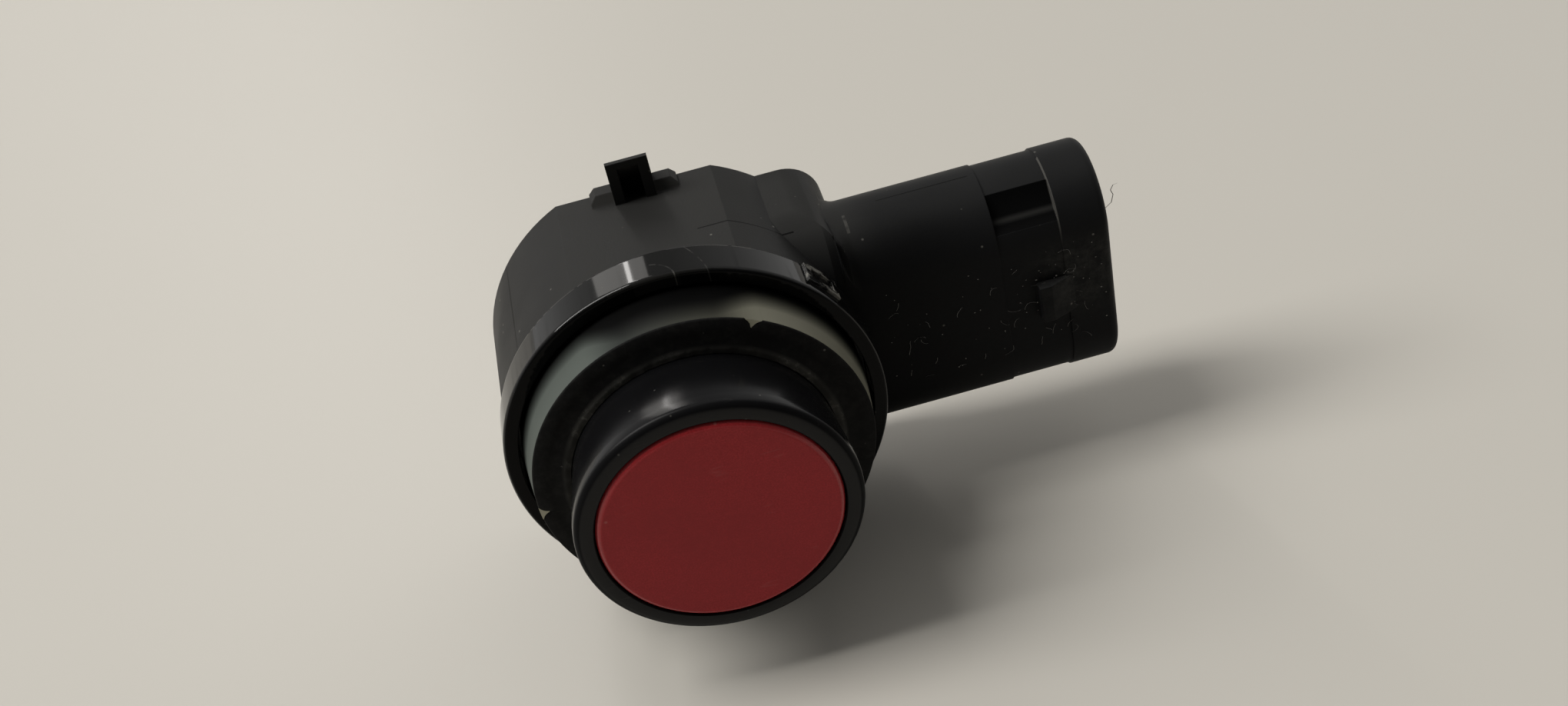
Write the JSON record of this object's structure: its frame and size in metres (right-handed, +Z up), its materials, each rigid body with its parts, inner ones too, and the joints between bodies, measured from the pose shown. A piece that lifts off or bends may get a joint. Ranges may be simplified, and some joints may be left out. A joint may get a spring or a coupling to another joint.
{
  "type": "ultrasonic parking sensor",
  "caption": "Snap-in ultrasonic parking sensor with a round barrel, a painted membrane face in a black nose, latch boxes on its flats and a round-ended plug socket to the side.",
  "frame": {"origin": "on the barrel's axis, at the rear shoulder of the collar", "axes": "-Y is the way the membrane face looks, +X is the way the plug socket reaches, +Z is up, through one latch box"},
  "size_m": [0.0417, 0.0219, 0.0282],
  "materials": {
    "housing_plastic": "satin moulded black",
    "face_paint": "satin red paint on an aluminium cup",
    "sleeve_black": "smooth half-gloss black",
    "seal_rubber": "matte, dusty",
    "silicone_white": "milky translucent silicone",
    "ceramic": "silvered ceramic",
    "foam": "fine cell foam",
    "copper": "enamelled copper",
    "carrier_plastic": "natural moulded plastic",
    "contact_brass": "drawn brass",
    "board": "green solder resist",
    "chip": "matte moulded package",
    "ferrite": "sintered ferrite",
    "capacitor": "ceramic chip with tinned ends",
    "tinned_terminal": "tin plated",
    "cover_plastic": "satin moulded black"
  },
  "bodies": {
    "root": {"housing": "housing_plastic", "membrane_pot": "face_paint", "nose_sleeve": "sleeve_black", "seal_ring": "seal_rubber", "silicone_ring": "silicone_white", "piezo_disc": "ceramic", "damping_foam": "foam", "piezo_lead_1": "copper", "piezo_lead_2": "copper", "contact_carrier": "carrier_plastic", "contact_pin_1": "contact_brass", "contact_pin_2": "contact_brass", "circuit_board": "board", "driver_chip": "chip", "transformer_core": "ferrite", "transformer_coil": "copper", "capacitor_1": "capacitor", "capacitor_2": "capacitor", "capacitor_3": "capacitor", "terminal_1": "tinned_terminal", "terminal_2": "tinned_terminal", "terminal_3": "tinned_terminal", "rear_cover": "cover_plastic"}
  },
  "joints": []
}
